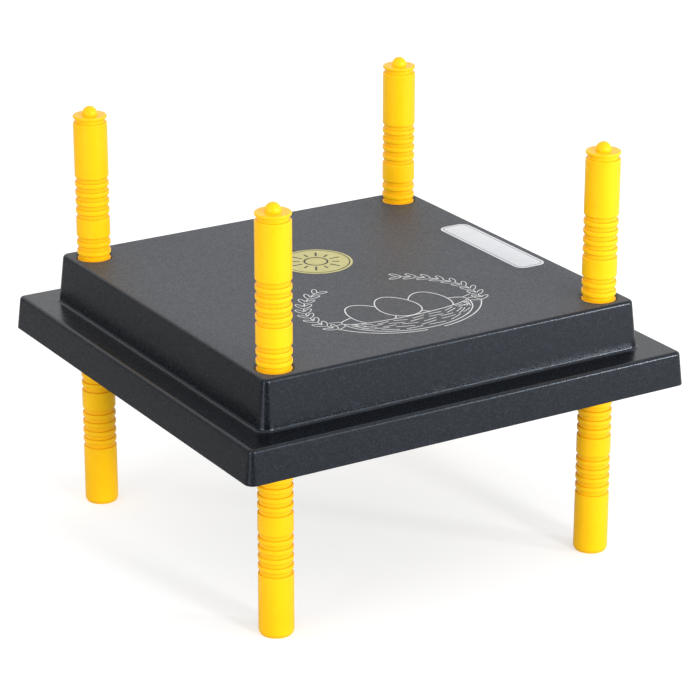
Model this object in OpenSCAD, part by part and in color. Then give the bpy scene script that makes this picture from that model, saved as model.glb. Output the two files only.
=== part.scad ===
// Brooder heat plate for chicks: a two-tier moulded plate on four grooved posts
// Sizes in millimetres. +Z is up, -Y is the front, and z = 0 is the floor under the posts

/* [Plate] */
// Side of the square rim, along its lower edge
plate_side = 250; // [230:1:300]
// Height of the lower tier
rim_h = 17.2; // [16.5:0.1:22]
// Height of the upper tier above the ledge
tier_h = 25.2; // [21.5:0.1:36]
// Width of the ledge between the tiers
ledge_w = 14.4; // [14:0.1:18]
// Draft of the outer walls, in degrees
draft = 6.5; // [3:0.1:7]
// Wall of the moulded cover
wall = 2.6; // [2.2:0.1:3]
// Corner radius of the lower tier at its upper edge
rim_corner_r = 2.5; // [2.2:0.1:5]
// Corner radius of the upper tier at its upper edge
tier_corner_r = 3.1; // [2.2:0.1:6]
// Rounding of the upper edges of both tiers
edge_r = 2; // [1:0.1:2.2]
// Hollow rounding where the upper tier meets the ledge
foot_r = 1.8; // [1:0.1:3]

/* [Posts] */
// Outside diameter of a post
leg_d = 17.4; // [16:0.1:18]
// Length of a post without its cap
leg_len = 209; // [170:1:240]
// Height of the lowest groove above the floor
first_groove = 33; // [31:0.1:35]
// Spacing of the grooves in a group
groove_pitch = 4.8; // [4.5:0.1:5.2]
// Spacing of the groups
group_pitch = 31.7; // [30:0.1:33]
// Height of a groove
groove_w = 2.3; // [2.1:0.1:2.5]
// Depth of a groove
groove_depth = 0.75; // [0.6:0.05:1]
// Least plain length above the top group of grooves
end_land = 12; // [10:1:20]
// Rounding of the rings between the grooves
ring_r = 0.6; // [0.3:0.1:0.8]
// Rounding of the foot
foot_edge_r = 2; // [1:0.1:3]
// Bore down the post
leg_bore_d = 11; // [9:0.1:11.5]
// Distance from a post's axis to the edge of the plate's top
leg_inset = 12.7; // [12.6:0.1:16]
// Groove that the clips sit in, counted from the foot
rest_groove = 13; // [1:1:25]

/* [Post caps] */
// Height of the narrow neck under the disc
neck_h = 2.2; // [1.5:0.1:3]
// Depth of the neck below the post's face
neck_depth = 1.2; // [0.8:0.1:2]
// Thickness of the disc
disc_t = 1.5; // [1.2:0.1:3]
// Rounding of the disc's edge
disc_edge_r = 0.5; // [0.2:0.1:0.6]
// Diameter of the dome
dome_d = 7.8; // [6:0.1:10]
// Straight collar under the dome
dome_collar = 0.6; // [0.2:0.1:2]
// Length of the plug in the post
plug_len = 10; // [6:1:20]

/* [Leg tubes and clips] */
// Outside diameter of the tubes moulded in the cover
tube_d = 24.4; // [23:0.1:24.6]
// Chamfer of the leg holes in the plate's top
hole_chamfer = 0.8; // [0.4:0.1:1]
// Play round a post in the base plate's hole, on each side
base_hole_play = 1; // [0.5:0.1:1.5]
// Wire of the spring clips
clip_wire_d = 1.6; // [1.4:0.1:1.8]
// Height of the clips above the rim's lower edge
clip_up = 11.7; // [11.2:0.1:12]
// Length of a clip's arm past the post's axis
clip_tail = 13; // [12.6:0.1:14]
// Play that a clip has to spread over a ring
clip_spread = 1.3; // [1.2:0.1:1.6]

/* [Underside] */
// Depth of the base plate's face inside the rim
base_recess = 1; // [0.5:0.1:1.4]
// Thickness of the base plate
base_t = 3.6; // [3.4:0.1:4]
// Diameter of the seal cord
seal_d = 1.8; // [1.6:0.1:2]
// Diameter of the base screws
screw_d = 2.8; // [2.5:0.1:3.2]
// Diameter of their heads
screw_head_d = 5.6; // [5:0.1:6.2]
// Length of the base screws
screw_len = 9; // [8:0.5:10]
// Distance of a base screw from the middle of its side
screw_offset = 57; // [45:1:65]
// Diameter of the screw bosses
boss_d = 7.6; // [7:0.1:8]

/* [Heater] */
// Thickness of the heat spreader
spreader_t = 0.8; // [0.5:0.1:1.2]
// Diameter of the heating cable
cable_d = 3; // [2.5:0.1:3.5]
// Rows of heating cable, an even number
cable_rows = 8; // [6:2:8]
// Distance of the outer rows from the edge of the corner notches
row_margin = 10; // [8:1:14]
// Bend of the cable's ends
tail_r = 7; // [6:0.5:7]
// Length of the thermal cut-out
cutout_l = 16; // [12:1:18]
// Width of the thermal cut-out
cutout_w = 7; // [6:0.5:8]
// Height of the thermal cut-out
cutout_h = 3.6; // [3.2:0.1:3.6]
// Thickness of the insulation mat
mat_t = 15; // [12:1:16]
// Width of the terminal block
block_w = 20; // [18:1:24]
// Depth of the terminal block
block_l = 16; // [14:1:18]
// Height of the terminal block
block_h = 12; // [10:1:13]
// Diameter of the terminal screws
block_screw_d = 4; // [3:0.1:4.4]

/* [Cord gland] */
// Bore for the cord
gland_bore_d = 7; // [5:0.1:8]
// Diameter of the gland's shank
gland_shank_d = 12; // [11:0.1:13]
// Diameter of the gland's flange
gland_flange_d = 16; // [15.5:0.5:17]
// Thickness of the flange
gland_flange_t = 2; // [1.5:0.1:3]
// Width of the gland's hexagon, across its corners
gland_hex_d = 15; // [14:0.5:15.5]
// Height of the hexagon
gland_hex_h = 4; // [3:0.5:5]
// Diameter of the gland's nose
gland_nose_d = 11; // [10:0.1:12]
// Height of the nose past the hexagon
gland_nose_h = 2; // [1:0.5:3]
// Length of the shank inside the wall
gland_tail = 6; // [5:0.5:7]
// Width of the lock nut, across its corners
nut_d = 18; // [17:0.5:18.5]
// Height of the lock nut
nut_h = 4; // [3:0.5:4.5]
// Gap between the gland's flange and the hollow rounding at the ledge
gland_gap = 0.5; // [0.3:0.1:1]

/* [Clearances] */
// Post to leg tube, on each side
leg_clear = 0.35; // [0.3:0.05:0.45]
// Loose pieces laid next to each other
lay_clear = 0.3; // [0.2:0.05:0.4]
// Snug pieces, such as a plug in its post
snug_clear = 0.05; // [0.03:0.01:0.1]

/* [Hidden] */
$fn = 64;

black = "#26282c";
yellow = "#ffd000";
grooves_in_group = 5;

// Post sizes
leg_r = leg_d / 2;
core_r = leg_r - groove_depth;
function groove_z(i) = first_groove + floor(i / grooves_in_group) * group_pitch
  + (i % grooves_in_group) * groove_pitch;
group_len = (grooves_in_group - 1) * groove_pitch;
groups = floor((leg_len - first_groove - group_len - end_land) / group_pitch) + 1;
last_groove = grooves_in_group * groups - 1;

// Heights, all from the groove that the clips sit in
clip_z = groove_z(rest_groove - 1);
rim_z = clip_z - clip_up;
ledge_z = rim_z + rim_h;
top_z = ledge_z + tier_h;
base_low_z = rim_z + base_recess;
base_top_z = base_low_z + base_t;
spreader_top_z = base_top_z + spreader_t;
cable_z = spreader_top_z + snug_clear + cable_d / 2;

// Half widths and corner radii of the plate, to a hundredth
function neat(v) = round(v * 100) / 100;
rim_half = plate_side / 2;
rim_low_r = neat(rim_corner_r + rim_h * tan(draft));
tier_low_r = neat(tier_corner_r + tier_h * tan(draft));
tier_half = neat(rim_half - rim_h * tan(draft) - ledge_w);
top_half = neat(tier_half - tier_h * tan(draft));
skirt_half = neat(rim_half - wall / cos(draft));
cavity_half = neat(tier_half - wall / cos(draft));
inner_corner_r = 0.6;
leg_xy = top_half - leg_inset;
tube_r = tube_d / 2;
tube_bore_r = leg_r + leg_clear;
screw_xy = tier_half + ledge_w / 2 - 1.5;
base_half = neat(skirt_half - (base_recess + base_t) * tan(draft) - lay_clear);
base_corner_r = 3;

// Corners in order: front left, front right, rear left, rear right
corners = [[-1, -1], [1, -1], [-1, 1], [1, 1]];

// A drafted wall's section, hung from its rounded upper edge, with s outward from the corner's centre
module drafted_section(low_r, h, round_r) {
  centre_s = low_r - (h - round_r) * tan(draft) - round_r / cos(draft);
  translate([0, h]) {
    polygon([
      [0, -h],
      [low_r, -h],
      [centre_s + round_r * cos(draft), round_r * sin(draft) - round_r],
      [centre_s, 0],
      [0, 0]]);
    translate([centre_s, -round_r]) intersection() {
      circle(round_r);
      square(round_r);
    }
  }
}

// A plain drafted section, for the inside
module cavity_section(low_r, h) {
  polygon([[0, 0], [low_r, 0], [inner_corner_r, h], [0, h]]);
}

// The hollow rounding between a drafted wall and the ledge
module foot_section(r) {
  centre_s = r - foot_r * tan(draft) + foot_r / cos(draft);
  difference() {
    polygon([
      [r - 1, 0],
      [centre_s, 0],
      [centre_s, foot_r],
      [centre_s - foot_r * cos(draft), foot_r - foot_r * sin(draft)],
      [r - 1, foot_r]]);
    translate([centre_s, foot_r]) circle(foot_r);
  }
}

// A section carried round a square with rounded corners
module square_sweep(half, r) {
  c = half - r;
  for (k = [0:3]) rotate([0, 0, 90 * k]) {
    translate([c, c, 0]) rotate_extrude(angle = 90) children();
    translate([c, 0, 0]) rotate([90, 0, 0]) linear_extrude(2 * c, center = true) children();
  }
}

// A section carried round the square, with its middle filled to height h
module square_solid(half, r, h) {
  c = half - r;
  square_sweep(half, r) children();
  translate([-c, -c, 0]) cube([2 * c, 2 * c, h]);
}

module round_square(half, r) {
  square([2 * half, 2 * (half - r)], center = true);
  square([2 * (half - r), 2 * half], center = true);
  for (p = corners) translate((half - r) * p) circle(r);
}

module at_legs() {
  for (p = corners) translate(leg_xy * p) children();
}

// The two base screws of each side
module at_base_screws() {
  for (k = [0:3]) rotate([0, 0, 90 * k])
    for (s = [-1, 1]) translate([screw_xy, s * screw_offset, 0]) children();
}

// The gland's place: its axis is square to the rear wall and z runs outward
gland_up = foot_r + gland_gap + gland_flange_d / 2;
module at_gland() {
  translate([0, tier_half - gland_up * tan(draft), ledge_z + gland_up])
    rotate([-90 + draft, 0, 0]) children();
}

module cover_outside() {
  translate([0, 0, rim_z])
    square_solid(rim_half, rim_low_r, rim_h)
      drafted_section(rim_low_r, rim_h, edge_r);
  translate([0, 0, ledge_z])
    square_solid(tier_half, tier_low_r, tier_h) {
      drafted_section(tier_low_r, tier_h, edge_r);
      foot_section(tier_low_r);
    }
}

module cover_inside() {
  overlap = 1;
  low_half = neat(skirt_half + overlap * tan(draft));
  low_h = rim_h - wall + overlap;
  low_r = neat(inner_corner_r + low_h * tan(draft));
  translate([0, 0, rim_z - overlap])
    square_solid(low_half, low_r, low_h) cavity_section(low_r, low_h);
  high_half = neat(cavity_half + (wall + overlap) * tan(draft));
  high_h = tier_h + overlap;
  high_r = neat(inner_corner_r + high_h * tan(draft));
  translate([0, 0, ledge_z - wall - overlap])
    square_solid(high_half, high_r, high_h) cavity_section(high_r, high_h);
}

// Slots for the two arms of a spring clip, cut through a leg tube
module clip_slots() {
  slot_in = core_r;
  slot_out = core_r + clip_wire_d + clip_spread;
  slot_h = clip_wire_d + 2 * lay_clear;
  for (s = [-1, 1]) translate([s * (slot_in + slot_out) / 2, 0, clip_z])
    cube([slot_out - slot_in, 2 * clip_tail + 2, slot_h], center = true);
}

module top_cover() color(black) difference() {
  union() {
    difference() {
      cover_outside();
      cover_inside();
    }
    at_legs() translate([0, 0, base_top_z])
      cylinder(r = tube_r, h = top_z - wall / 2 - base_top_z);
    at_base_screws() translate([0, 0, base_top_z])
      cylinder(d = boss_d, h = ledge_z - wall / 2 - base_top_z);
  }
  at_legs() {
    translate([0, 0, rim_z]) cylinder(r = tube_bore_r, h = top_z - rim_z + 1);
    translate([0, 0, top_z - hole_chamfer])
      cylinder(r1 = tube_bore_r, r2 = tube_bore_r + hole_chamfer, h = hole_chamfer);
    clip_slots();
  }
  at_base_screws() translate([0, 0, rim_z])
    cylinder(r = screw_d / 2 + snug_clear, h = screw_len + base_recess + 0.5);
  at_gland() translate([0, 0, -wall - 3])
    cylinder(r = gland_shank_d / 2 + 0.2, h = wall + 8);
}

module base_plate() color(black) difference() {
  translate([0, 0, base_low_z]) linear_extrude(base_t) round_square(base_half, base_corner_r);
  at_legs() translate([0, 0, rim_z]) cylinder(r = leg_r + base_hole_play, h = 20);
  at_base_screws() translate([0, 0, base_low_z]) {
    translate([0, 0, -1]) cylinder(r = screw_d / 2 + lay_clear, h = base_t + 2);
    screw_head(lay_clear / 2);
  }
  translate([0, 0, base_low_z + base_t / 2])
    square_sweep(base_half, base_corner_r)
      translate([base_corner_r - seal_d + lay_clear, -seal_d / 2 - snug_clear])
        square([seal_d + 1, seal_d + 2 * snug_clear]);
}

module base_seal() color("#3a3a3a")
  translate([0, 0, base_low_z + base_t / 2])
    square_sweep(base_half, base_corner_r)
      translate([base_corner_r - seal_d / 2 + lay_clear + snug_clear, 0]) circle(d = seal_d);

// A countersunk head, its flat face at z = 0, grown by a clearance
module screw_head(grow) {
  head_r = screw_head_d / 2 + grow;
  neck_r = screw_d / 2 + grow;
  translate([0, 0, -0.01]) cylinder(r1 = head_r, r2 = neck_r, h = head_r - neck_r);
}

module base_screws() color("#b8bcc0")
  at_base_screws() translate([0, 0, base_low_z]) difference() {
    union() {
      screw_head(0);
      cylinder(d = screw_d, h = screw_len);
    }
    for (a = [0, 90]) rotate([0, 0, a]) translate([0, 0, 0.3]) cube([3, 0.8, 1.2], center = true);
  }

// The spreader's outline: a square with its corners left out round the leg tubes
spreader_half = tier_half - 4;
notch_xy = leg_xy - tube_r - 1;
module notched_square(half, notch_x, notch_y) {
  difference() {
    square(2 * half, center = true);
    for (p = corners) translate([p.x * (notch_x + half), p.y * (notch_y + half)])
      square(2 * half, center = true);
  }
}

module heat_spreader() color("#c9ccd0")
  translate([0, 0, base_top_z]) linear_extrude(spreader_t)
    notched_square(spreader_half, notch_xy, notch_xy);

// Rows of heating cable, front to rear, with both ends at the rear. Runs and bends meet on a grid
function grid(v) = round(v * 8) / 8;
cable_r = cable_d / 2;
turn_r = grid((notch_xy - row_margin) / (cable_rows - 1));
row_pitch = 2 * turn_r;
row_half_span = turn_r * (cable_rows - 1);
bend_r = grid(tail_r);
block_y = spreader_half - 26;
tail_y = grid(block_y - block_l / 2 - bend_r - 1);
row_rear_y = tail_y - turn_r - grid(cable_d + 2);
row_front_y = turn_r + grid(cable_d - spreader_half);
pole_x = grid(block_w / 4);
cutout_x = grid(-row_half_span / 2);

function row_x(i) = -row_half_span + i * row_pitch;

// A quarter turn from +Y to +X about a point to the right of its start
module tail_turn() {
  translate([bend_r, 0, 0]) rotate([0, 0, 90])
    rotate_extrude(angle = 90) translate([bend_r, 0]) circle(cable_r);
}

// The left outer row's tail, along the rear as far as end_x
module cable_tail(end_x) {
  straight = tail_y - bend_r - row_rear_y;
  translate([-row_half_span, row_rear_y, 0]) {
    rotate([-90, 0, 0]) cylinder(r = cable_r, h = straight);
    translate([0, straight, 0]) {
      tail_turn();
      translate([bend_r, bend_r, 0]) rotate([0, 90, 0])
        cylinder(r = cable_r, h = end_x + row_half_span - bend_r);
    }
  }
}

// The last bend, from along the tail line into a pole of the terminal block
module pole_turn() {
  translate([-pole_x - bend_r, tail_y + bend_r, 0]) rotate([0, 0, -90])
    rotate_extrude(angle = 90) translate([bend_r, 0]) circle(cable_r);
  translate([-pole_x, tail_y + bend_r, 0]) rotate([-90, 0, 0])
    cylinder(r = cable_r, h = block_y - block_l / 2 - tail_y - bend_r - snug_clear);
}

module heating_cable() color("#a03020") translate([0, 0, cable_z]) {
  for (i = [0:cable_rows - 1]) translate([row_x(i), row_front_y, 0]) rotate([-90, 0, 0])
    cylinder(r = cable_r, h = row_rear_y - row_front_y);
  for (i = [0:2:cable_rows - 2]) translate([row_x(i) + turn_r, row_front_y, 0]) rotate([0, 0, 180])
    rotate_extrude(angle = 180) translate([turn_r, 0]) circle(cable_r);
  for (i = [1:2:cable_rows - 3]) translate([row_x(i) + turn_r, row_rear_y, 0])
    rotate_extrude(angle = 180) translate([turn_r, 0]) circle(cable_r);
  cable_tail(cutout_x - cutout_l / 2 - snug_clear);
  mirror([1, 0, 0]) {
    cable_tail(-pole_x - bend_r);
    pole_turn();
  }
}

module thermal_cutout() color("#2f2f2f")
  translate([cutout_x - cutout_l / 2, tail_y - cutout_w / 2, spreader_top_z])
    cube([cutout_l, cutout_w, cutout_h]);

module cutout_lead() color("#a03020") translate([0, 0, cable_z]) {
  from_x = cutout_x + cutout_l / 2 + snug_clear;
  translate([from_x, tail_y, 0]) rotate([0, 90, 0])
    cylinder(r = cable_r, h = -pole_x - bend_r - from_x);
  pole_turn();
}

// Two poles side by side, each with a pair of screws from above
module terminal_block() color("#e8e6dc") difference() {
  translate([-block_w / 2, block_y - block_l / 2, spreader_top_z]) cube([block_w, block_l, block_h]);
  for (s = [-1, 1]) translate([s * pole_x, 0, 0]) {
    for (t = [-1, 1]) translate([0, block_y + t * block_l / 4, spreader_top_z + block_h - 3])
      cylinder(r = block_screw_d / 2 + snug_clear, h = 4);
    translate([0, block_y + block_l / 2 + 1, cable_z]) rotate([90, 0, 0]) cylinder(r = 1.6, h = 6);
  }
  translate([-1, block_y - block_l / 2 - 1, spreader_top_z + block_h - 4]) cube([2, block_l + 2, 5]);
}

module terminal_screws() color("#c8a040")
  for (s = [-1, 1]) for (t = [-1, 1])
    translate([s * pole_x, block_y + t * block_l / 4, spreader_top_z + block_h - 3]) difference() {
      cylinder(d = block_screw_d, h = 2.4);
      translate([0, 0, 2.4]) cube([block_screw_d + 1, 0.8, 1.4], center = true);
    }

// The mat lies on the cable and is cut back round the tubes, the clips and the terminal block
mat_half = cavity_half - mat_t * tan(draft) - 2;
module insulation_mat() color("#e9dfa8")
  translate([0, 0, cable_z + cable_r + lay_clear]) linear_extrude(mat_t) difference() {
    notched_square(mat_half, notch_xy, leg_xy - clip_tail - core_r - clip_wire_d - 4);
    translate([-block_w / 2 - 3, tail_y - 6]) square([block_w + 6, 2 * mat_half]);
    translate([cutout_x - cutout_l / 2 - 2, tail_y - cutout_w / 2 - 2])
      square([cutout_l + 4, cutout_w + 4]);
  }

module cord_gland() color("#1d1d1f") at_gland() difference() {
  union() {
    translate([0, 0, snug_clear]) cylinder(d = gland_flange_d, h = gland_flange_t);
    translate([0, 0, gland_flange_t]) cylinder(d = gland_hex_d, h = gland_hex_h, $fn = 6);
    translate([0, 0, gland_flange_t]) cylinder(d = gland_nose_d, h = gland_hex_h + gland_nose_h);
    translate([0, 0, -wall - gland_tail])
      cylinder(d = gland_shank_d, h = wall + gland_tail + gland_flange_t);
  }
  translate([0, 0, -wall - gland_tail - 1])
    cylinder(d = gland_bore_d, h = wall + gland_tail + gland_flange_t + gland_hex_h + gland_nose_h + 2);
}

module gland_nut() color("#1d1d1f") at_gland() translate([0, 0, -wall - nut_h - snug_clear]) difference() {
  cylinder(d = nut_d, h = nut_h, $fn = 6);
  translate([0, 0, -1]) cylinder(r = gland_shank_d / 2 + snug_clear, h = nut_h + 2);
}

// A hairpin of spring wire: two arms in a post's groove, joined by a bend on the plate's inner side
clip_arm_x = core_r + clip_wire_d / 2 + 0.1;
module leg_clip(p) color("#c0c4c8")
  translate([leg_xy * p.x, leg_xy * p.y, clip_z]) mirror([0, p.y > 0 ? 1 : 0, 0]) {
    for (s = [-1, 1]) translate([s * clip_arm_x, -clip_tail, 0]) rotate([-90, 0, 0])
      cylinder(d = clip_wire_d, h = 2 * clip_tail);
    translate([0, clip_tail, 0])
      rotate_extrude(angle = 180) translate([clip_arm_x, 0]) circle(d = clip_wire_d);
  }

// The part of a post's section between two grooves, with both its edges rounded
module post_land(z0, z1, r0, r1) {
  polygon([
    [0, z0],
    [leg_r - r0, z0],
    [leg_r, z0 + r0],
    [leg_r, z1 - r1],
    [leg_r - r1, z1],
    [0, z1]]);
  translate([leg_r - r0, z0 + r0]) circle(r0);
  translate([leg_r - r1, z1 - r1]) circle(r1);
}

module post_section() {
  half_w = groove_w / 2;
  square([core_r, leg_len - 1]);
  post_land(0, groove_z(0) - half_w, foot_edge_r, ring_r);
  for (i = [0:last_groove - 1])
    post_land(groove_z(i) + half_w, groove_z(i + 1) - half_w, ring_r, ring_r);
  post_land(groove_z(last_groove) + half_w, leg_len, ring_r, ring_r);
}

module leg_post(p) color(yellow) translate([leg_xy * p.x, leg_xy * p.y, 0]) difference() {
  rotate_extrude() post_section();
  translate([0, 0, 4]) cylinder(d = leg_bore_d, h = leg_len);
}

// Neck, disc, dome and plug
module leg_cap(p) color(yellow) translate([leg_xy * p.x, leg_xy * p.y, leg_len]) {
  plug_r = leg_bore_d / 2 - snug_clear;
  translate([0, 0, -plug_len]) cylinder(r = plug_r, h = plug_len + neck_h / 2);
  cylinder(r = leg_r - neck_depth, h = neck_h + disc_t / 2);
  translate([0, 0, neck_h]) {
    rotate_extrude() cap_disc_section();
    cylinder(d = dome_d, h = disc_t + dome_collar);
    translate([0, 0, disc_t + dome_collar]) sphere(d = dome_d);
  }
}

module cap_disc_section() {
  r = disc_edge_r;
  polygon([[0, 0], [leg_r - r, 0], [leg_r, r], [leg_r, disc_t - r], [leg_r - r, disc_t], [0, disc_t]]);
  translate([leg_r - r, r]) circle(r);
  translate([leg_r - r, disc_t - r]) circle(r);
}

top_cover();
base_plate();
base_seal();
base_screws();
heat_spreader();
heating_cable();
thermal_cutout();
cutout_lead();
terminal_block();
terminal_screws();
insulation_mat();
cord_gland();
gland_nut();
leg_clip(corners[0]);  // leg_clip_front_left
leg_clip(corners[1]);  // leg_clip_front_right
leg_clip(corners[2]);  // leg_clip_rear_left
leg_clip(corners[3]);  // leg_clip_rear_right
leg_post(corners[0]);  // leg_post_front_left
leg_post(corners[1]);  // leg_post_front_right
leg_post(corners[2]);  // leg_post_rear_left
leg_post(corners[3]);  // leg_post_rear_right
leg_cap(corners[0]);  // leg_cap_front_left
leg_cap(corners[1]);  // leg_cap_front_right
leg_cap(corners[2]);  // leg_cap_rear_left
leg_cap(corners[3]);  // leg_cap_rear_right
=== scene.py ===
"""Looks of a brooder heat plate: finishes, prints on its top, floor, light and camera.

Lengths are metres in the part's own frame: +Z is up, -Y the front, and z = 0 the floor.
"""

import math

import bmesh
import bpy
from mathutils import Matrix, Vector


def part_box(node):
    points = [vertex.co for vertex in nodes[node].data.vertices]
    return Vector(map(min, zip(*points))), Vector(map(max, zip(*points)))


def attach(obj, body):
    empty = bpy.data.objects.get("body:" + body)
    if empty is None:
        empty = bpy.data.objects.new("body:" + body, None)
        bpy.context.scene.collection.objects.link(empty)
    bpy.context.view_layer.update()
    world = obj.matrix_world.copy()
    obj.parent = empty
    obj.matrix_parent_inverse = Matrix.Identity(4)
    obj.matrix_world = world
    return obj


MM = 0.001

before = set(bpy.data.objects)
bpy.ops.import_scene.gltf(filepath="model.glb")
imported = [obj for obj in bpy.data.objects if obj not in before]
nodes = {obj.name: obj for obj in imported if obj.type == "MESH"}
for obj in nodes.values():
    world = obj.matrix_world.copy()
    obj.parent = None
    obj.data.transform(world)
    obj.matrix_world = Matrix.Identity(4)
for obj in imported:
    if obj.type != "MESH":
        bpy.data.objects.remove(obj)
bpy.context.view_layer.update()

LEGS = ("front_left", "front_right", "rear_left", "rear_right")

# Places on the plate, taken from the CAD part
plate_low, plate_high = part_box("top_cover")
TOP_Z = plate_high[2]
RIM_Z = plate_low[2]
RIM_MIDDLE = Vector((0.0, 0.0, RIM_Z))

# The photograph's camera, about the middle of the rim's lower edge
IMAGE_SIDE = 700
CAMERA_AZIMUTH = math.radians(-31.476)
CAMERA_ELEVATION = math.radians(20.782)
CAMERA_ROLL = 0.0014
CAMERA_FOCAL_PIXELS = 2827.9
CAMERA_RIGHT = 4.457 * MM
CAMERA_UP = 2.159 * MM
CAMERA_BACK = 1449.88 * MM
CAMERA_NEAR = 0.05
CAMERA_FAR = 50.0
SENSOR = 36.0


# Material helpers


def new_material(name):
    """A node material and its shader."""
    material = bpy.data.materials.new(name)
    material.use_nodes = True
    return material, material.node_tree.nodes["Principled BSDF"]


def add_node(material, kind, **values):
    """A node with its settings or input values given by name."""
    node = material.node_tree.nodes.new(kind)
    for key, value in values.items():
        if key in node.inputs:
            node.inputs[key].default_value = value
        else:
            setattr(node, key, value)
    return node


def link(material, source, target):
    """Joins one node's output to another's input."""
    material.node_tree.links.new(source, target)


def object_coordinates(material):
    """The point on the object that is being shaded."""
    return add_node(material, "ShaderNodeTexCoord").outputs["Object"]


def noise(material, scale, detail=3.0):
    """Noise in the object's own coordinates; scale is in features per metre."""
    node = add_node(material, "ShaderNodeTexNoise", Scale=scale, Detail=detail)
    link(material, object_coordinates(material), node.inputs["Vector"])
    return node.outputs["Fac"]


def colour_ramp(material, factor, low, high, start=0.3, end=0.7):
    """A colour that goes from low to high as the factor goes from start to end."""
    ramp = add_node(material, "ShaderNodeValToRGB")
    ramp.color_ramp.elements[0].position = start
    ramp.color_ramp.elements[0].color = (*low, 1.0)
    ramp.color_ramp.elements[1].position = end
    ramp.color_ramp.elements[1].color = (*high, 1.0)
    link(material, factor, ramp.inputs["Fac"])
    return ramp.outputs["Color"]


def value_range(material, factor, low, high, start=0.3, end=0.7):
    """A number that goes from low to high as the factor goes from start to end."""
    node = add_node(material, "ShaderNodeMapRange")
    for key, value in (("From Min", start), ("From Max", end), ("To Min", low), ("To Max", high)):
        node.inputs[key].default_value = value
    link(material, factor, node.inputs["Value"])
    return node.outputs["Result"]


def mix_colours(material, factor, first, second):
    """The first colour where the factor is 0 and the second where it is 1."""
    mix = add_node(material, "ShaderNodeMixRGB")
    link(material, factor, mix.inputs["Fac"])
    link(material, first, mix.inputs["Color1"])
    link(material, second, mix.inputs["Color2"])
    return mix.outputs["Color"]


def bump(material, shader, height, strength, depth):
    """Roughens the shader's surface by a height of up to that depth."""
    node = add_node(material, "ShaderNodeBump", Strength=strength, Distance=depth)
    link(material, height, node.inputs["Height"])
    link(material, node.outputs["Normal"], shader.inputs["Normal"])


def paint(material, *names):
    """Gives CAD nodes a material."""
    for name in names:
        mesh = nodes[name].data
        mesh.materials.clear()
        mesh.materials.append(material)


# Materials: a scale is in features per metre, and a pair of values is where a mottle starts and ends

PLASTIC_IOR = 1.48
PLASTIC_GRAIN_STRENGTH = 0.5
METAL_MOTTLE = 120.0
METAL_MARK_STRENGTH = 0.2
METAL_MARK_DEPTH = 0.02 * MM

COVER_TINT = (0.77, 0.86, 1.0, 1.0)
COVER_GRAIN = 1300.0
COVER_GRAIN_STRENGTH = 1.0
COVER_GRAIN_DEPTH = 0.045 * MM
COVER_GLOSS_MOTTLE = 400.0
WALL_DARK, WALL_LIGHT = (0.0002, 0.0004, 0.0010), (0.0115, 0.0145, 0.0210)
WALL_SPECKS = (0.47, 0.70)
WALL_ROUGH = (0.22, 0.29)
# Painted sheen: the top's paler colour stands in for the reflection of the bright surroundings
TOP_SHEEN_DARK, TOP_SHEEN_LIGHT = (0.041, 0.044, 0.051), (0.072, 0.076, 0.086)
TOP_SPECKS = (0.35, 0.65)
TOP_EXTRA_ROUGH = (0.36, 0.26)
TOP_FADE_LOW = TOP_Z - 0.30 * MM
TOP_FADE_HIGH = TOP_Z - 0.03 * MM

LEG_IOR = 1.46
LEG_TINT = (1.0, 0.85, 0.35, 1.0)
LEG_LIGHT_INSIDE = 0.1
LEG_LIGHT_REACH = 2.0 * MM
LEG_LIGHT_COLOUR = (1.0, 0.5, 0.1)
LEG_LOW, LEG_HIGH = (0.98, 0.52, 0.003), (1.0, 0.56, 0.004)
LEG_MOTTLE = 60.0
LEG_ROUGH = (0.30, 0.40)
LEG_GLOSS_MOTTLE = 300.0
LEG_GRAIN = 900.0
LEG_GRAIN_STRENGTH = 0.3
LEG_GRAIN_DEPTH = 0.03 * MM
# Painted shade: a deeper orange on the floor of the posts' grooves, where ambient occlusion finds them
GROOVE_SHADE_COLOUR = (0.93, 0.42, 0.002, 1.0)
GROOVE_REACH = 3.0 * MM
GROOVE_SAMPLES = 8
GROOVE_SHELTER = (0.80, 0.96)

PRINT_MOTTLE = 200.0
PRINT_ROUGH = (0.50, 0.62)
PRINT_GLOSS_MOTTLE = 500.0


def plastic(name, low, high, rough, grain, grain_depth, patch=25.0):
    """Moulded plastic: mottled colour, uneven gloss and a fine grain."""
    material, shader = new_material(name)
    shader.inputs["IOR"].default_value = PLASTIC_IOR
    link(material, colour_ramp(material, noise(material, patch), low, high), shader.inputs["Base Color"])
    link(material, value_range(material, noise(material, patch * 3), *rough), shader.inputs["Roughness"])
    bump(material, shader, noise(material, grain, detail=2.0), PLASTIC_GRAIN_STRENGTH, grain_depth)
    return material


def metal(name, low, high, rough, brush):
    """Bare metal with fine marks."""
    material, shader = new_material(name)
    shader.inputs["Metallic"].default_value = 1.0
    colour = colour_ramp(material, noise(material, METAL_MOTTLE), low, high)
    link(material, colour, shader.inputs["Base Color"])
    link(material, value_range(material, noise(material, brush), *rough), shader.inputs["Roughness"])
    bump(material, shader, noise(material, brush, detail=4.0), METAL_MARK_STRENGTH, METAL_MARK_DEPTH)
    return material


def on_the_top(material):
    """1 on the plate's flat top and 0 below its rounded edge: where the extra roughness and the painted sheen
    go.
    """
    parts = add_node(material, "ShaderNodeSeparateXYZ")
    link(material, object_coordinates(material), parts.inputs["Vector"])
    return value_range(material, parts.outputs["Z"], 0.0, 1.0, TOP_FADE_LOW, TOP_FADE_HIGH)


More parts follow.
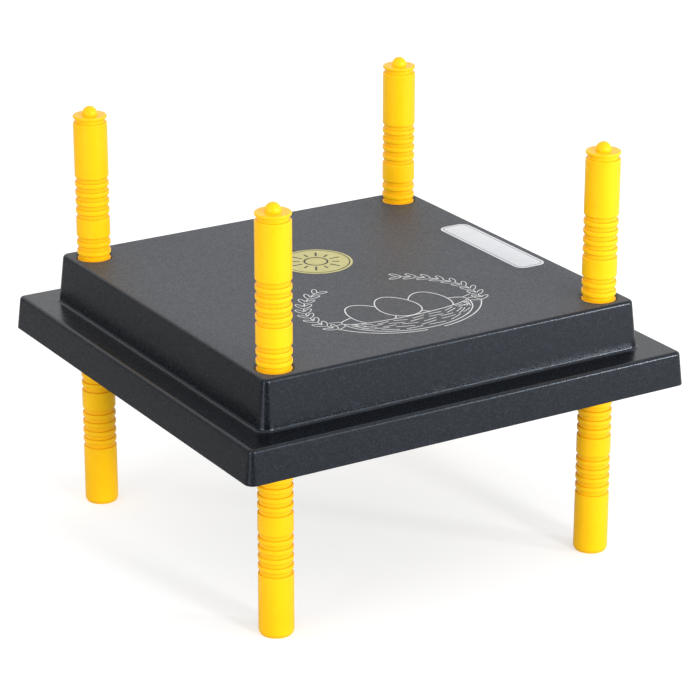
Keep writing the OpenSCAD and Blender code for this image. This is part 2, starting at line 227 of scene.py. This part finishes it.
def cover_plastic():
    """Black moulded plastic with a fine pebbled grain: glossy walls, and a more matt top whose paler colour
    is a painted sheen.
    """
    material, shader = new_material("cover_black")
    shader.inputs["IOR"].default_value = PLASTIC_IOR
    shader.inputs["Specular Tint"].default_value = COVER_TINT
    grain = noise(material, COVER_GRAIN, detail=2.0)
    top = on_the_top(material)
    wall_colour = colour_ramp(material, grain, WALL_DARK, WALL_LIGHT, *WALL_SPECKS)
    # The top's paler colour is a painted sheen
    top_sheen_colour = colour_ramp(material, grain, TOP_SHEEN_DARK, TOP_SHEEN_LIGHT, *TOP_SPECKS)
    link(material, mix_colours(material, top, wall_colour, top_sheen_colour), shader.inputs["Base Color"])
    rough = add_node(material, "ShaderNodeMath", operation="MULTIPLY_ADD")
    link(material, top, rough.inputs[0])
    link(material, value_range(material, grain, *TOP_EXTRA_ROUGH, *TOP_SPECKS), rough.inputs[1])
    link(material, value_range(material, noise(material, COVER_GLOSS_MOTTLE), *WALL_ROUGH), rough.inputs[2])
    link(material, rough.outputs[0], shader.inputs["Roughness"])
    bump(material, shader, grain, COVER_GRAIN_STRENGTH, COVER_GRAIN_DEPTH)
    return material


def painted_groove_shade(material):
    """1 on the floor of a post's groove and 0 on open faces, found by ambient occlusion: the mask for the
    painted shade.
    """
    shelter = add_node(
        material, "ShaderNodeAmbientOcclusion", only_local=True, samples=GROOVE_SAMPLES, Distance=GROOVE_REACH
    )
    return value_range(material, shelter.outputs["AO"], 1.0, 0.0, *GROOVE_SHELTER)


def leg_plastic(name, shade_grooves):
    """Yellow plastic that lets a little light in, with painted shade, a deeper orange, on the floor of a
    groove.
    """
    material, shader = new_material(name)
    shader.inputs["IOR"].default_value = LEG_IOR
    shader.inputs["Specular Tint"].default_value = LEG_TINT
    shader.inputs["Subsurface Weight"].default_value = LEG_LIGHT_INSIDE
    shader.inputs["Subsurface Radius"].default_value = LEG_LIGHT_COLOUR
    shader.inputs["Subsurface Scale"].default_value = LEG_LIGHT_REACH
    colour = colour_ramp(material, noise(material, LEG_MOTTLE), LEG_LOW, LEG_HIGH)
    # Painted shade on the floor of the grooves
    if shade_grooves:
        mix = add_node(material, "ShaderNodeMixRGB", Color2=GROOVE_SHADE_COLOUR)
        link(material, painted_groove_shade(material), mix.inputs["Fac"])
        link(material, colour, mix.inputs["Color1"])
        colour = mix.outputs["Color"]
    link(material, colour, shader.inputs["Base Color"])
    gloss = value_range(material, noise(material, LEG_GLOSS_MOTTLE), *LEG_ROUGH)
    link(material, gloss, shader.inputs["Roughness"])
    bump(material, shader, noise(material, LEG_GRAIN, detail=2.0), LEG_GRAIN_STRENGTH, LEG_GRAIN_DEPTH)
    return material


def printed(name, low, high):
    """Ink or vinyl: an even colour with a slight mottle and a low sheen."""
    material, shader = new_material(name)
    colour = colour_ramp(material, noise(material, PRINT_MOTTLE), low, high)
    link(material, colour, shader.inputs["Base Color"])
    gloss = value_range(material, noise(material, PRINT_GLOSS_MOTTLE), *PRINT_ROUGH)
    link(material, gloss, shader.inputs["Roughness"])
    return material


def paint_plastics():
    """Gives the plastic, rubber and felt nodes inside and under the cover their finish."""
    base_black = plastic(
        "base_black",
        low=(0.009, 0.0095, 0.011),
        high=(0.014, 0.015, 0.017),
        rough=(0.40, 0.52),
        grain=800.0,
        grain_depth=0.05 * MM,
    )
    paint(base_black, "base_plate")
    gland_nylon = plastic(
        "gland_nylon",
        low=(0.008, 0.008, 0.009),
        high=(0.014, 0.014, 0.015),
        rough=(0.36, 0.48),
        grain=1200.0,
        grain_depth=0.03 * MM,
    )
    paint(gland_nylon, "cord_gland", "gland_nut")
    seal_rubber = plastic(
        "seal_rubber",
        low=(0.020, 0.020, 0.020),
        high=(0.035, 0.035, 0.035),
        rough=(0.60, 0.75),
        grain=1500.0,
        grain_depth=0.03 * MM,
    )
    paint(seal_rubber, "base_seal")
    cable_silicone = plastic(
        "cable_silicone",
        low=(0.32, 0.035, 0.020),
        high=(0.40, 0.050, 0.030),
        rough=(0.45, 0.55),
        grain=1500.0,
        grain_depth=0.02 * MM,
    )
    paint(cable_silicone, "heating_cable", "cutout_lead")
    cutout_case = plastic(
        "cutout_case",
        low=(0.020, 0.020, 0.022),
        high=(0.030, 0.030, 0.032),
        rough=(0.35, 0.45),
        grain=1500.0,
        grain_depth=0.02 * MM,
    )
    paint(cutout_case, "thermal_cutout")
    block_plastic = plastic(
        "block_plastic",
        low=(0.72, 0.71, 0.63),
        high=(0.80, 0.79, 0.71),
        rough=(0.40, 0.50),
        grain=1500.0,
        grain_depth=0.02 * MM,
    )
    paint(block_plastic, "terminal_block")
    mat_felt = plastic(
        "mat_felt",
        low=(0.55, 0.47, 0.22),
        high=(0.74, 0.66, 0.36),
        rough=(0.90, 1.00),
        grain=600.0,
        grain_depth=0.60 * MM,
        patch=150.0,
    )
    paint(mat_felt, "insulation_mat")


def paint_metals():
    """Gives the metal nodes their finish."""
    aluminium = metal(
        "spreader_aluminium",
        low=(0.74, 0.75, 0.77),
        high=(0.84, 0.85, 0.86),
        rough=(0.30, 0.45),
        brush=900.0,
    )
    paint(aluminium, "heat_spreader")
    screw_steel = metal(
        "screw_steel",
        low=(0.50, 0.50, 0.51),
        high=(0.62, 0.62, 0.63),
        rough=(0.25, 0.40),
        brush=2500.0,
    )
    paint(screw_steel, "base_screws")
    brass = metal(
        "terminal_brass",
        low=(0.62, 0.43, 0.16),
        high=(0.74, 0.54, 0.22),
        rough=(0.25, 0.40),
        brush=2500.0,
    )
    paint(brass, "terminal_screws")
    clip_steel = metal(
        "clip_steel",
        low=(0.55, 0.55, 0.56),
        high=(0.66, 0.66, 0.67),
        rough=(0.20, 0.30),
        brush=2500.0,
    )
    paint(clip_steel, *("leg_clip_" + leg for leg in LEGS))


def paint_cad_nodes():
    """Gives every CAD node its finish."""
    paint(cover_plastic(), "top_cover")
    paint(leg_plastic("post_yellow", shade_grooves=True), *("leg_post_" + leg for leg in LEGS))
    paint(leg_plastic("cap_yellow", shade_grooves=False), *("leg_cap_" + leg for leg in LEGS))
    paint_plastics()
    paint_metals()


# Prints and stickers on the plate's top, drawn in millimetres: x to the right, y to the rear

INK = 0.03
VINYL = 0.15
LIFT = 0.02
ON_VINYL = LIFT + VINYL
LINE = 0.6
FINE_LINE = 0.45


def add_piece(name, material, build):
    """Makes a mesh into a piece that belongs to the plate."""
    bmesh.ops.recalc_face_normals(build, faces=build.faces)
    mesh = bpy.data.meshes.new(name)
    build.to_mesh(mesh)
    build.free()
    mesh.materials.append(material)
    piece = bpy.data.objects.new(name, mesh)
    bpy.context.scene.collection.objects.link(piece)
    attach(piece, "plate")


def point_on_top(build, point, height):
    """A vertex at that point of the drawing and height above the top."""
    return build.verts.new((point[0] * MM, point[1] * MM, TOP_Z + height * MM))


def add_sheet(build, outline, height, thickness):
    """A flat sheet with thin edges."""
    low = [point_on_top(build, point, height) for point in outline]
    high = [point_on_top(build, point, height + thickness) for point in outline]
    build.faces.new(high)
    for i in range(len(outline)):
        build.faces.new((low[i - 1], low[i], high[i], high[i - 1]))


def add_line(build, points, width, height, closed=False):
    """A thin ribbon of ink along the points."""
    count = len(points)
    rows = []
    for i, point in enumerate(points):
        before = points[i - 1] if i or closed else point
        after = points[(i + 1) % count] if i + 1 < count or closed else point
        along = Vector((after[0] - before[0], after[1] - before[1])).normalized()
        side = Vector((-along.y, along.x)) * (width / 2)
        left = (point[0] + side.x, point[1] + side.y)
        right = (point[0] - side.x, point[1] - side.y)
        rows.append(
            [
                point_on_top(build, left, height),
                point_on_top(build, left, height + INK),
                point_on_top(build, right, height + INK),
                point_on_top(build, right, height),
            ]
        )
    pairs = list(zip(rows, rows[1:]))
    if closed:
        pairs.append((rows[-1], rows[0]))
    else:
        build.faces.new(rows[0])
        build.faces.new(rows[-1])
    for first, second in pairs:
        for k in range(3):
            build.faces.new((first[k], first[k + 1], second[k + 1], second[k]))


def ellipse(centre, radius_x, radius_y, start=0.0, end=360.0, steps=96):
    """Points along an ellipse between two angles in degrees."""
    points = []
    for i in range(steps + 1):
        angle = math.radians(start + (end - start) * i / steps)
        points.append((centre[0] + radius_x * math.cos(angle), centre[1] + radius_y * math.sin(angle)))
    return points


def ring(centre, radius, count):
    """A circle's points, each once, for a line that is closed."""
    return ellipse(centre, radius, radius, 0.0, 360.0 - 360.0 / count, count - 1)


def rounded_rectangle(centre, width, length, radius, steps=8):
    """The outline of a rectangle with round corners."""
    points = []
    for quarter, (sx, sy) in enumerate(((1, 1), (-1, 1), (-1, -1), (1, -1))):
        corner = (centre[0] + sx * (width / 2 - radius), centre[1] + sy * (length / 2 - radius))
        points += ellipse(corner, radius, radius, 90 * quarter, 90 * quarter + 90, steps)
    return points


def kept_runs(points, keep):
    """The stretches of a line whose points pass the test."""
    runs, run = [], []
    for point in points:
        if keep(point):
            run.append(point)
        else:
            runs.append(run)
            run = []
    runs.append(run)
    return [run for run in runs if len(run) > 2]


# The picture: eggs in a nest between two stems of wheat

EGG_SIDE = 17.5
EGG_Y = -55.0
MIDDLE_EGG_Y = -52.5
EGG_LEAN = 11.0

NEST_CENTRE = (0.0, -60.0)
NEST_HALF = 36.0
NEST_LIP = 7.5
NEST_DEPTH = 26.0

WEAVE_BANDS = 6
WEAVE_HALF = NEST_HALF * 0.97
WEAVE_START = 195.0
WEAVE_SPAN = 150.0
WEAVE_STAGGER = 0.25
DASHES_IN_BAND = 9
DASH_SHARE = 0.72
DASH_STEPS = 10
DASH_TILT = 1.3

STRAW_ROOT = NEST_HALF - 0.5
STRAW_ROOT_RISE = 0.12
STRAW_TURNS_AND_LENGTHS = ((-28.0, 7.0), (-4.0, 9.0), (18.0, 6.0))

STEM_CENTRE = (0.0, -49.0)
STEM_HALF_X = 45.5
STEM_HALF_Y = 39.5
STEM_START = -84
STEM_END = 56
STEM_STEPS = 70

GRAIN_START = -24
GRAIN_SPACING = 10
GRAIN_LEAN = 33.0
GRAIN_MIDDLE = 3.6
GRAIN_HALF_LENGTH = 3.4
GRAIN_HALF_WIDTH = 1.25
GRAIN_POINTS = 24


class Egg:
    """An egg's outline: a blunt lower end, a narrower upper end and a lean in degrees."""

    HALF_WIDTH = 10.5
    HALF_HEIGHT = 14.5
    TAPER = 0.16
    STEPS = 120

    def __init__(self, x, y, lean):
        self.x, self.y, self.lean = x, y, math.radians(lean)

    def outline(self):
        points = []
        for i in range(self.STEPS + 1):
            angle = math.tau * i / self.STEPS - math.pi / 2
            across = self.HALF_WIDTH * math.cos(angle) * (1 - self.TAPER * math.sin(angle))
            along = self.HALF_HEIGHT * math.sin(angle)
            points.append(
                (
                    self.x + across * math.cos(self.lean) - along * math.sin(self.lean),
                    self.y + across * math.sin(self.lean) + along * math.cos(self.lean),
                )
            )
        return points

    def holds(self, point):
        dx, dy = point[0] - self.x, point[1] - self.y
        across = dx * math.cos(self.lean) + dy * math.sin(self.lean)
        along = (dy * math.cos(self.lean) - dx * math.sin(self.lean)) / self.HALF_HEIGHT
        half = self.HALF_WIDTH * (1 - self.TAPER * along)
        return (across / half) ** 2 + along**2 < 1


def near_lip_y(x):
    """The near half of the nest's lip."""
    reach = max(0.0, 1 - (x / NEST_HALF) ** 2)
    return NEST_CENTRE[1] - NEST_LIP * math.sqrt(reach)


def hidden_by(point, eggs):
    """Whether any of the eggs covers the point."""
    return any(egg.holds(point) for egg in eggs)


def draw_eggs(build, eggs):
    """Eggs that stand behind the nest's near lip, the first one in front of the others."""
    for i, egg in enumerate(eggs):
        in_front = eggs[:i]

        def seen(point):
            above = abs(point[0]) > NEST_HALF or point[1] > near_lip_y(point[0])
            return above and not hidden_by(point, in_front)

        for run in kept_runs(egg.outline(), seen):
            add_line(build, run, LINE, LIFT)
    far_lip = ellipse(NEST_CENTRE, NEST_HALF, NEST_LIP, 0, 180)
    for run in kept_runs(far_lip, lambda point: not hidden_by(point, eggs)):
        add_line(build, run, LINE, LIFT)


def draw_weave(build, band):
    """One band of dashes along the nest's bowl, each a little tilted."""
    depth = NEST_LIP + (NEST_DEPTH - NEST_LIP) * band / WEAVE_BANDS
    dashes = DASHES_IN_BAND - band // 2
    span = WEAVE_SPAN / dashes
    for dash in range(dashes):
        start = WEAVE_START + span * (dash + WEAVE_STAGGER * (band % 3))
        arc = ellipse(NEST_CENTRE, WEAVE_HALF, depth, start, start + span * DASH_SHARE, DASH_STEPS)
        rise = DASH_TILT if (band + dash) % 2 else -DASH_TILT
        tilted = [(x, y + rise * (i / DASH_STEPS - 0.5)) for i, (x, y) in enumerate(arc)]
        add_line(build, tilted, FINE_LINE, LIFT)


def draw_nest(build):
    """A bowl of woven straw: its lip, its outline, dashes along it and loose ends at the sides."""
    add_line(build, ellipse(NEST_CENTRE, NEST_HALF, NEST_LIP, 180, 360), LINE, LIFT)
    add_line(build, ellipse(NEST_CENTRE, NEST_HALF, NEST_DEPTH, 180, 360), LINE, LIFT)
    for band in range(1, WEAVE_BANDS):
        draw_weave(build, band)
    for side in (-1, 1):
        for turn, length in STRAW_TURNS_AND_LENGTHS:
            root = (side * STRAW_ROOT, NEST_CENTRE[1] + turn * STRAW_ROOT_RISE)
            angle = math.radians(turn)
            tip = (root[0] + side * length * math.cos(angle), root[1] + length * math.sin(angle))
            add_line(build, [root, tip], FINE_LINE, LIFT)


def wheat_grain(angle, lean):
    """The outline of a grain that grows from the stem at that angle, both in degrees."""
    turn = math.radians(angle)
    root_x = STEM_CENTRE[0] + STEM_HALF_X * math.cos(turn)
    root_y = STEM_CENTRE[1] + STEM_HALF_Y * math.sin(turn)
    along_stem = math.atan2(STEM_HALF_Y * math.cos(turn), -STEM_HALF_X * math.sin(turn))
    heading = along_stem + math.radians(lean)
    ahead = Vector((math.cos(heading), math.sin(heading)))
    across = Vector((-ahead.y, ahead.x))
    outline = []
    for i in range(GRAIN_POINTS):
        swing = math.tau * i / GRAIN_POINTS
        reach = GRAIN_MIDDLE - GRAIN_HALF_LENGTH * math.cos(swing)
        at = ahead * reach + across * (GRAIN_HALF_WIDTH * math.sin(swing))
        outline.append((root_x + at.x, root_y + at.y))
    return outline


def draw_wheat(build, side):
    """A stem of wheat that curves round one side of the nest."""

    def mirrored(points):
        return [(side * x, y) for x, y in points]

    stem = ellipse(STEM_CENTRE, STEM_HALF_X, STEM_HALF_Y, STEM_START, STEM_END, STEM_STEPS)
    add_line(build, mirrored(stem), LINE, LIFT)
    for angle in range(GRAIN_START, STEM_END + 1, GRAIN_SPACING):
        for lean in (-GRAIN_LEAN, GRAIN_LEAN):
            add_line(build, mirrored(wheat_grain(angle, lean)), FINE_LINE, LIFT, closed=True)


def print_picture():
    """White line drawing: three eggs in a nest between two stems of wheat."""
    build = bmesh.new()
    middle_egg = Egg(0.0, MIDDLE_EGG_Y, 0.0)
    left_egg = Egg(-EGG_SIDE, EGG_Y, EGG_LEAN)
    right_egg = Egg(EGG_SIDE, EGG_Y, -EGG_LEAN)
    draw_eggs(build, [middle_egg, left_egg, right_egg])
    draw_nest(build)
    for side in (-1, 1):
        draw_wheat(build, side)
    add_piece("nest_print", printed("ink_white", (0.62, 0.63, 0.64), (0.74, 0.75, 0.76)), build)


# The stickers

LABEL_CENTRE = (92.2, 0.4)
LABEL_WIDTH = 17.6
LABEL_LENGTH = 77.0
LABEL_CORNER = 5.0
KEYLINE_INSET = 1.5
KEYLINE = 0.4

SUN_CENTRE = (0.5, 26.0)
SUN_SHEET_RADIUS = 19.0
SUN_SHEET_POINTS = 72
SUN_BORDER_RADIUS = SUN_SHEET_RADIUS - 1.6
SUN_RADIUS = 6.0
SUN_POINTS = 48
SUN_LINE = 1.0
RAYS = 12
RAY_START = 8.3
LONG_RAY_END = 14.0
SHORT_RAY_END = 12.0


def stick_label():
    """A bare white label with a grey keyline, between the two right-hand posts."""
    build = bmesh.new()
    outline = rounded_rectangle(LABEL_CENTRE, LABEL_WIDTH, LABEL_LENGTH, LABEL_CORNER)
    add_sheet(build, outline, LIFT, VINYL)
    add_piece("label_sheet", printed("label_white", (0.665, 0.68, 0.715), (0.70, 0.715, 0.75)), build)
    build = bmesh.new()
    width = LABEL_WIDTH - 2 * KEYLINE_INSET
    length = LABEL_LENGTH - 2 * KEYLINE_INSET
    keyline = rounded_rectangle(LABEL_CENTRE, width, length, LABEL_CORNER - KEYLINE_INSET)
    add_line(build, keyline, KEYLINE, ON_VINYL, closed=True)
    add_piece("label_keyline", printed("ink_grey", (0.16, 0.16, 0.17), (0.22, 0.22, 0.23)), build)


def stick_sun():
    """A round yellow sticker printed with a plain sun."""
    build = bmesh.new()
    add_sheet(build, ring(SUN_CENTRE, SUN_SHEET_RADIUS, SUN_SHEET_POINTS), LIFT, VINYL)
    add_piece("sun_sheet", printed("vinyl_yellow", (0.50, 0.46, 0.19), (0.56, 0.52, 0.22)), build)
    build = bmesh.new()
    add_line(build, ring(SUN_CENTRE, SUN_BORDER_RADIUS, SUN_SHEET_POINTS), LINE, ON_VINYL, closed=True)
    add_line(build, ring(SUN_CENTRE, SUN_RADIUS, SUN_POINTS), SUN_LINE, ON_VINYL, closed=True)
    for ray in range(RAYS):
        angle = math.tau * ray / RAYS
        ahead = Vector((math.cos(angle), math.sin(angle)))
        reaches = (RAY_START, LONG_RAY_END if ray % 2 == 0 else SHORT_RAY_END)
        ends = [(SUN_CENTRE[0] + ahead.x * reach, SUN_CENTRE[1] + ahead.y * reach) for reach in reaches]
        add_line(build, ends, SUN_LINE, ON_VINYL)
    add_piece("sun_print", printed("ink_black", (0.020, 0.020, 0.020), (0.035, 0.034, 0.032)), build)


# Floor, light and camera

FLOOR_SIDE = 12.0
FLOOR_COLOUR = 0.55
CAMERA_GLOW = 0.54
MIRROR_GLOW = 0.05
MATT = 0.9
LAMP_DISTANCE = 1.8


def floor_glow(material):
    """The floor's own light: for rays from the camera, and less for those off a gloss or through glass."""
    rays = add_node(material, "ShaderNodeLightPath")
    mirrored = add_node(material, "ShaderNodeMath", operation="MAXIMUM")
    link(material, rays.outputs["Is Glossy Ray"], mirrored.inputs[0])
    link(material, rays.outputs["Is Transmission Ray"], mirrored.inputs[1])
    for_mirrors = value_range(material, mirrored.outputs[0], 0.0, MIRROR_GLOW, 0.0, 1.0)
    for_camera = value_range(material, rays.outputs["Is Camera Ray"], 0.0, CAMERA_GLOW, 0.0, 1.0)
    glow = add_node(material, "ShaderNodeMath", operation="ADD")
    link(material, for_mirrors, glow.inputs[0])
    link(material, for_camera, glow.inputs[1])
    return glow.outputs[0]


def show_from_above(material, shader):
    """Makes the back of a face clear."""
    one_sided = add_node(material, "ShaderNodeMixShader")
    back = add_node(material, "ShaderNodeNewGeometry").outputs["Backfacing"]
    clear = add_node(material, "ShaderNodeBsdfTransparent").outputs["BSDF"]
    link(material, back, one_sided.inputs["Fac"])
    link(material, shader.outputs["BSDF"], one_sided.inputs[1])
    link(material, clear, one_sided.inputs[2])
    link(material, one_sided.outputs["Shader"], material.node_tree.nodes["Material Output"].inputs["Surface"])


def build_floor():
    """A plain pale floor that looks white where no shadow falls on it, and clear from below."""
    bpy.ops.mesh.primitive_plane_add(size=FLOOR_SIDE, location=(0.0, 0.0, 0.0))
    floor = bpy.context.object
    floor.name = "floor"
    material, shader = new_material("floor_pale")
    shader.inputs["Base Color"].default_value = (FLOOR_COLOUR, FLOOR_COLOUR, FLOOR_COLOUR, 1.0)
    shader.inputs["Roughness"].default_value = MATT
    shader.inputs["Specular IOR Level"].default_value = 0.0
    shader.inputs["Emission Color"].default_value = (1.0, 1.0, 1.0, 1.0)
    link(material, floor_glow(material), shader.inputs["Emission Strength"])
    show_from_above(material, shader)
    floor.data.materials.append(material)


def build_world():
    """An even white light from all round."""
    world = bpy.data.worlds.new("studio")
    bpy.context.scene.world = world
    world.use_nodes = True
    background = world.node_tree.nodes["Background"]
    background.inputs["Color"].default_value = (1.0, 1.0, 1.0, 1.0)
    background.inputs["Strength"].default_value = 1.0


def stand_flag(name, foot, facing, width, height, tone):
    """A grey studio card that stands on the floor. Only reflections show it."""
    build = bmesh.new()
    along = Vector((-facing[1], facing[0])).normalized() * (width / 2)
    corners = []
    for side, z in ((-1, 0.0), (1, 0.0), (1, height), (-1, height)):
        corners.append(build.verts.new((foot[0] + side * along.x, foot[1] + side * along.y, z)))
    build.faces.new(corners)
    mesh = bpy.data.meshes.new(name)
    build.to_mesh(mesh)
    build.free()
    material, shader = new_material(name + "_grey")
    shader.inputs["Base Color"].default_value = (tone, tone, tone, 1.0)
    shader.inputs["Roughness"].default_value = MATT
    mesh.materials.append(material)
    flag = bpy.data.objects.new(name, mesh)
    bpy.context.scene.collection.objects.link(flag)
    flag.visible_camera = False
    flag.visible_diffuse = False
    flag.visible_shadow = False


def area_light(name, direction, side, power):
    """A square soft light in that direction from the plate's middle, aimed at it."""
    data = bpy.data.lights.new(name, "AREA")
    data.size = side
    data.energy = power
    lamp = bpy.data.objects.new(name, data)
    lamp.location = RIM_MIDDLE + Vector(direction).normalized() * LAMP_DISTANCE
    lamp.rotation_euler = (lamp.location - RIM_MIDDLE).to_track_quat("Z", "Y").to_euler()
    bpy.context.scene.collection.objects.link(lamp)


def light_the_plate():
    """Even light, two cards that the walls reflect, and three low lamps."""
    build_world()
    stand_flag("flag_left", foot=(-0.23, 0.18), facing=(1.0, 0.0), width=0.60, height=0.25, tone=0.42)
    stand_flag("flag_front", foot=(-0.42, -0.68), facing=(0.52, 0.85), width=0.70, height=0.28, tone=0.05)
    area_light("key", direction=(0.143, -0.955, 0.30), side=0.30, power=14.0)
    area_light("edge", direction=(0.63, -0.76, 0.157), side=0.22, power=12.0)
    area_light("fill", direction=(-0.95, -0.32, 0.06), side=0.6, power=9.0)


def build_camera():
    """The photograph's camera."""
    a, e = CAMERA_AZIMUTH, CAMERA_ELEVATION
    back = Vector((math.sin(a) * math.cos(e), -math.cos(a) * math.cos(e), math.sin(e)))
    right = Vector((math.cos(a), math.sin(a), 0.0))
    up = back.cross(right)
    turned_right = right * math.cos(CAMERA_ROLL) + up * math.sin(CAMERA_ROLL)
    turned_up = up * math.cos(CAMERA_ROLL) - right * math.sin(CAMERA_ROLL)
    place = RIM_MIDDLE + turned_right * CAMERA_RIGHT + turned_up * CAMERA_UP + back * CAMERA_BACK
    data = bpy.data.cameras.new("camera")
    data.sensor_width = SENSOR
    data.lens = SENSOR * CAMERA_FOCAL_PIXELS / IMAGE_SIDE
    data.clip_start = CAMERA_NEAR
    data.clip_end = CAMERA_FAR
    camera = bpy.data.objects.new("camera", data)
    axes = Matrix((turned_right, turned_up, back)).transposed()
    camera.matrix_world = Matrix.Translation(place) @ axes.to_4x4()
    bpy.context.scene.collection.objects.link(camera)
    bpy.context.scene.camera = camera


paint_cad_nodes()
print_picture()
stick_label()
stick_sun()
build_floor()
light_the_plate()
build_camera()
bpy.context.scene.view_settings.view_transform = "Standard"
